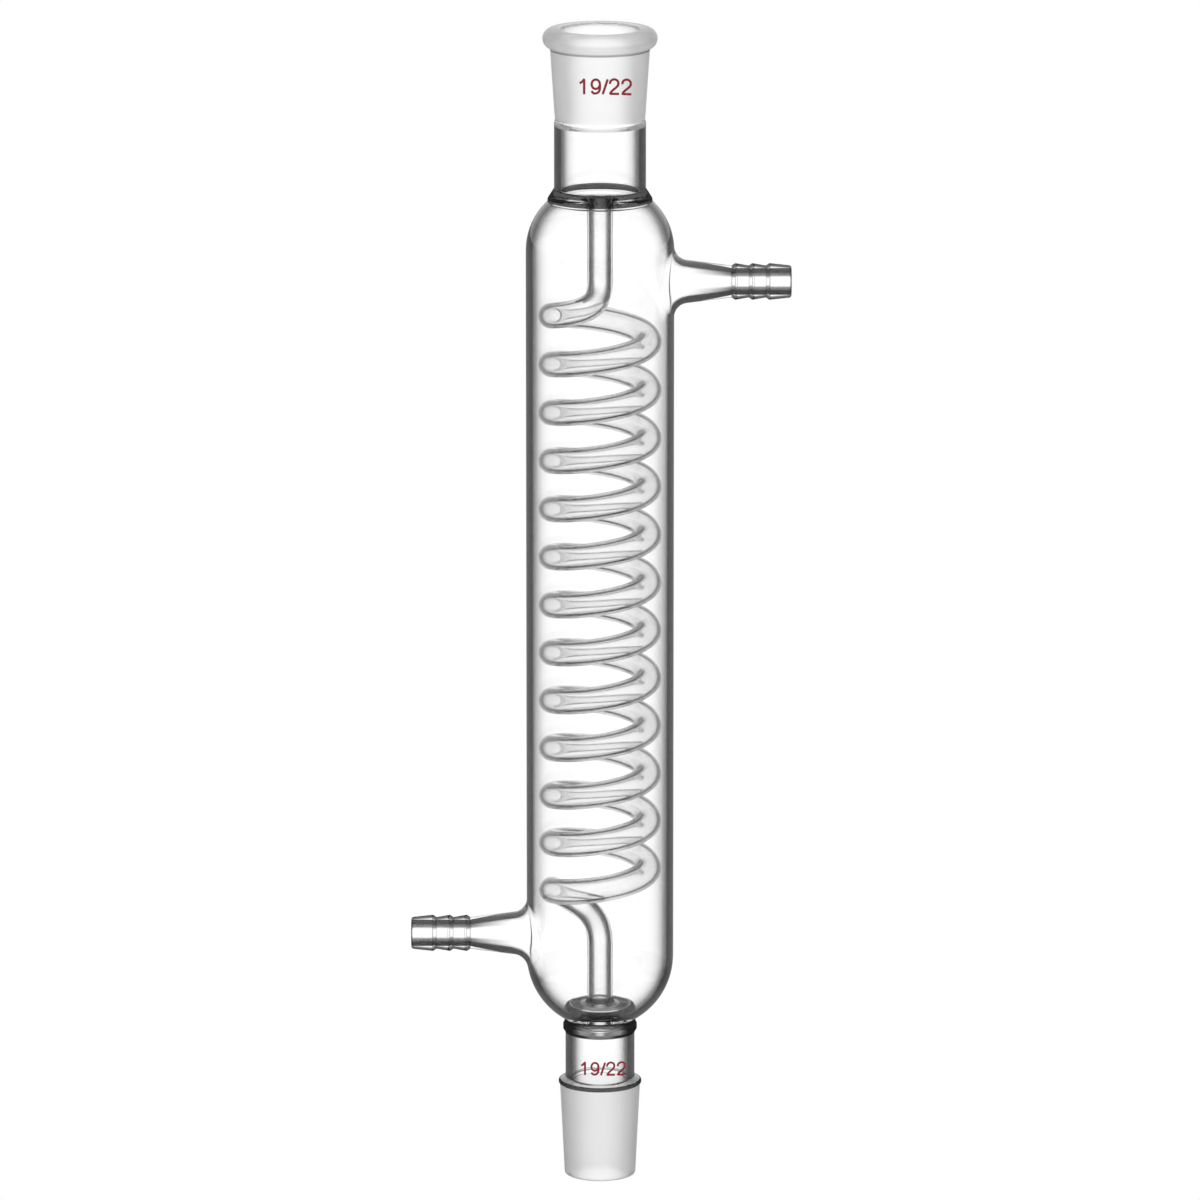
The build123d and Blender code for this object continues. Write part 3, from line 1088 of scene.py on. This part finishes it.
def finish_and_shade_of(centre, normal):
    """A face's finish and painted shade, from its middle in millimetres and the way it points."""
    reach = math.hypot(centre.x, centre.y)
    inward = normal.x * centre.x + normal.y * centre.y < 0
    height = centre.z
    if reach < tube_bore + NEAR:
        return "lead"
    if height > socket_foot - socket_slope and reach < joint_radius + NEAR:
        return "ground bore"
    if height > socket_foot + FROST_FOOT:
        in_crease = rim_foot - CREASE_WIDTH < height < rim_foot
        return "crease" if in_crease and reach > joint_radius + MID_WALL else "ground socket"
    if height > disc_foot + NEAR:
        return upper_seal_finish_and_shade(reach, height)
    if height < 0:
        return "ground cone" if reach > cone_bore + MID_WALL else "outside"
    if height < lip_height + 2 * NEAR and reach > lower_neck_radius + NEAR:
        return "seal"
    if bead_foot < height < bowl_foot and reach > lower_neck_radius - NEAR:
        return "bead"
    if height < inner_end_foot + NEAR and reach < lower_bore + NEAR:
        return "lower neck"
    in_dome = inner_end_foot < height < inner_end_top + lower_root_blend
    if in_dome and reach < inner_end_radius + NEAR:
        return lower_seal_finish_and_shade(reach, height)
    in_arm_zone = inlet_height - ARM_ZONE < height < outlet_height + ARM_ZONE
    if in_arm_zone and reach > water_radius - WALL_SLACK:
        return arm_finish_and_shade(centre, normal)
    return "jacket" if inward else "outside"


halfway_up = Vector((jacket_radius, 0, (jacket_foot + jacket_top) / 2))
print("the jacket's outside halfway up is", finish_and_shade_of(halfway_up, Vector((1, 0, 0))))

# %% [markdown]
# The faces of the two sweeps still carry their marks, so the bore and the outside of the coil need
# no test of place. Every other face asks the function above.

# %% Finish the glass piece
TURN_ZONE = 4


def made_object(name, bm, *materials):
    """Turns a bmesh into an object in the scene, made of these materials."""
    mesh = bpy.data.meshes.new(name)
    bm.to_mesh(mesh)
    bm.free()
    for material in materials:
        mesh.materials.append(material)
    made = bpy.data.objects.new(name, mesh)
    bpy.context.scene.collection.objects.link(made)
    return made


finish_names = list(finishes_and_painted_shade)
finish_count = dict.fromkeys(finish_names, 0)
for face in glass.faces:
    face.smooth = True
    centre = face.calc_center_median() / MM
    if face.material_index == COIL_BORE:
        name = "turn" if coil_foot - TURN_ZONE < centre.z < coil_head + TURN_ZONE else "lead"
    elif face.material_index == COIL_OUTSIDE:
        name = "outside"
    else:
        name = finish_and_shade_of(centre, face.normal)
    face.material_index = finish_names.index(name)
    finish_count[name] += 1
print("faces of each finish:", finish_count)

glass_piece = made_object("condenser_glass", glass, *finishes_and_painted_shade.values())
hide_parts("condenser")
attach(glass_piece, "root")
print("glass piece:", len(glass_piece.data.polygons), "faces")

# %% [markdown]
# ## The size mark
#
# Each joint carries its size in dark red ceramic ink, screened on the front and fired into the
# glass. The figures are drawn as the plain strokes of a sign painter: each stroke is a curve with a
# round bevel, pressed nearly flat. A soft pad presses them on straight from the front, tilted a
# little, so they sink round the glass and stay level to someone who looks down on it.

# %% Mix the ink
DEEP_RED, BRIGHT_RED = (0.25, 0.003, 0.010, 1), (0.34, 0.006, 0.018, 1)

ink, ink_output = new_material("fired_red_ink")
ink_shader = add_node(ink, "ShaderNodeBsdfPrincipled", Roughness=0.5)
ink_tone = blended(ink, grain(ink, Scale=4000.0, Detail=3.0), DEEP_RED, BRIGHT_RED)
join(ink, ink_tone, ink_shader.inputs["Base Color"])
join(ink, ink_shader.outputs["BSDF"], ink_output.inputs["Surface"])
print("ink:", ink.name, "with", len(ink.node_tree.nodes), "nodes")

# %% [markdown]
# Each figure is a list of strokes in a box one unit high. The places are shares of the figure's
# height, so one set of strokes serves both sizes of print.

# %% Draw the strokes of the figures
FIGURE_STEPS = 14
FIGURE_WIDTH = 0.776
SLASH_WIDTH = 0.39


def bend(*points):
    """A curved stroke through control points, as flat (across, up) places in figure heights."""
    controls = [Vector((x, y, 0)) for x, y in points]
    return [controls[0]] + curve(controls, FIGURE_STEPS)


def loop(centre, across, up):
    """A closed oval stroke."""
    angles = [math.pi * i / FIGURE_STEPS for i in range(2 * FIGURE_STEPS + 1)]
    middle = Vector((*centre, 0))
    return [middle + Vector((across * math.cos(a), up * math.sin(a), 0)) for a in angles]


figures = {
    "1": [bend((0.14, 0.74), (0.32, 0.82), (0.4, 0.98)) + bend((0.42, 0.97), (0.42, 0.03))],
    "2": [
        bend((0.09, 0.68), (0.08, 1.08), (0.66, 1.08), (0.62, 0.68))
        + bend((0.62, 0.68), (0.58, 0.45), (0.18, 0.3), (0.1, 0.05))
        + bend((0.1, 0.05), (0.66, 0.05)),
    ],
    "9": [
        loop((0.37, 0.66), 0.26, 0.3),
        bend((0.63, 0.66), (0.66, 0.25), (0.6, 0.03), (0.36, 0.04), (0.14, 0.02), (0.13, 0.24)),
    ],
    "/": [bend((0.03, 0.02), (0.34, 0.98))],
}
print("strokes of each mark:", {mark: len(strokes) for mark, strokes in figures.items()})

# %% [markdown]
# The strokes are laid out flat, swept into tubes, and then every corner is moved onto the glass:
# sideways and height stay, the depth of the tube becomes the thickness of the ink.

# %% Print the size on both joints
INK_LIFT = 0.02
INK_DEPTH = 0.04
STROKE_SHARE = 0.075
STROKE_FINENESS = 2
PAD_TILT = 0.213


def print_size(name, start, height, radius_at):
    """Prints the joint's size on the front, from a (sideways, height) start at the lower left."""
    bm = bmesh.new()
    left, foot = start
    for mark in "19/22":
        for stroke in figures[mark]:
            path = [Vector((left + p.x * height, 0, foot + p.y * height)) for p in stroke]
            add_tube(bm, path, STROKE_SHARE * height, STROKE_FINENESS)
        left += height * (SLASH_WIDTH if mark == "/" else FIGURE_WIDTH)
    bmesh.ops.holes_fill(bm, edges=[edge for edge in bm.edges if edge.is_boundary])
    for corner in bm.verts:
        flat = corner.co / MM
        depth = flat.y / (STROKE_SHARE * height) * INK_DEPTH / 2
        wall = radius_at(flat.z)
        front = math.sqrt(wall**2 - flat.x**2)
        grow = (wall + INK_LIFT - depth) / wall
        level = flat.z - PAD_TILT * (wall - front)
        corner.co = Vector((flat.x * grow, -front * grow, level)) * MM
    for face in bm.faces:
        face.smooth = True
    piece = made_object(name, bm, ink)
    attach(piece, "root")
    print(name, "has", len(piece.data.polygons), "faces")


def socket_side_radius(height):
    """Radius of the socket's outside at a height."""
    low, high = socket_foot + socket_slope, rim_foot
    share = (height - low) / (high - low)
    return small_radius + socket_wall + share * (joint_radius - small_radius)


def neck_side_radius(height):
    """Radius of the lower neck's outside, which is the same at every height."""
    return lower_neck_radius


socket_print, socket_figures = (-5.15, 236.7), 3.65
neck_print, neck_figures = (-4.85, 3.75), 3.2
print_size("size_on_socket", socket_print, socket_figures, socket_side_radius)
print_size("size_on_lower_neck", neck_print, neck_figures, neck_side_radius)

# %% [markdown]
# ## Floor, light and camera
#
# Glassware is shown against a bright, even background. The floor and the world are plain white to
# the camera, and a little over white to rays that pass through glass. Mirror reflections see the
# floor on the camera's side, which is dimmer than the backdrop.

# %% Make white show through glass
REFLECTED_FLOOR = 0.3
THROUGH_GLASS = 1.09


def through_glass(owner, ray):
    """A strength that is white, and a little over white where a ray comes through glass."""
    return stretched(owner, ray.outputs["Is Transmission Ray"], 1.0, THROUGH_GLASS)


def floor_level(owner, ray):
    """The floor's strength, lower where a mirror ray sees it."""
    reflected, diffuse = ray.outputs["Is Reflection Ray"], ray.outputs["Is Diffuse Ray"]
    mirrored = calculate(owner, "SUBTRACT", reflected, diffuse)
    dimmed = stretched(owner, mirrored, 1.0, REFLECTED_FLOOR)
    return calculate(owner, "MULTIPLY", dimmed, through_glass(owner, ray))


def white_to_glass(material, output):
    """Mixes pale paint with plain white for camera, reflected and transmitted rays."""
    ray = add_node(material, "ShaderNodeLightPath")
    seen = ray.outputs["Is Camera Ray"]
    for kind in ("Is Glossy Ray", "Is Transmission Ray"):
        seen = calculate(material, "MAXIMUM", seen, ray.outputs[kind])
    paint = add_node(material, "ShaderNodeBsdfDiffuse", Color=(0.8, 0.8, 0.8, 1))
    white = add_node(material, "ShaderNodeEmission", Color=(1, 1, 1, 1))
    join(material, floor_level(material, ray), white.inputs["Strength"])
    finish_with(material, output, seen, paint.outputs["BSDF"], white.outputs["Emission"])


print("white is", THROUGH_GLASS, "through glass and", REFLECTED_FLOOR, "in mirror reflections")

# %% [markdown]
# The floor is one plain sheet just under the cone's tip, and so wide that its edge is never seen.

# %% Lay the floor
FLOOR_DROP = 0.0005
FLOOR_HALF = 6.0

floor_bm = bmesh.new()
bmesh.ops.create_grid(floor_bm, x_segments=1, y_segments=1, size=FLOOR_HALF)
bmesh.ops.translate(floor_bm, verts=floor_bm.verts, vec=(0, 0, cad_low.z - FLOOR_DROP))
floor_material, floor_output = new_material("white_floor")
white_to_glass(floor_material, floor_output)
floor = made_object("floor", floor_bm, floor_material)
print("floor:", 2 * FLOOR_HALF, "m wide")

# %% [markdown]
# Clear glass has no shading of its own, so lamps would only add hard glints that the real one
# doesn't show. An even white world lights it from all sides.

# %% Light the room
world = bpy.data.worlds.new("light_room")
bpy.context.scene.world = world
world.use_nodes = True
background = world.node_tree.nodes["Background"]
background.inputs["Color"].default_value = (1, 1, 1, 1)
world_ray = add_node(world, "ShaderNodeLightPath")
join(world, through_glass(world, world_ray), background.inputs["Strength"])
bpy.context.scene.view_settings.view_transform = "Standard"
print("world:", world.name)

# %% [markdown]
# The camera stands well back, a little above the object, so the rings are seen as slim ellipses.

# %% Set up the camera
CAMERA_DISTANCE = 2.2
CAMERA_RISE = math.radians(12.3)
AIM_HEIGHT = 0.116
LENS, SENSOR = 283.8, 36.0
FAR_CLIP = 50.0

camera_data = bpy.data.cameras.new("camera")
camera_data.lens = LENS
camera_data.sensor_width = SENSOR
camera_data.clip_end = FAR_CLIP
camera = bpy.data.objects.new("camera", camera_data)
camera.location = (
    0,
    -CAMERA_DISTANCE * math.cos(CAMERA_RISE),
    AIM_HEIGHT + CAMERA_DISTANCE * math.sin(CAMERA_RISE),
)
camera.rotation_euler = (math.pi / 2 - CAMERA_RISE, 0, 0)
bpy.context.scene.collection.objects.link(camera)
bpy.context.scene.camera = camera
print("camera at:", [round(place, 2) for place in camera.location], "m")
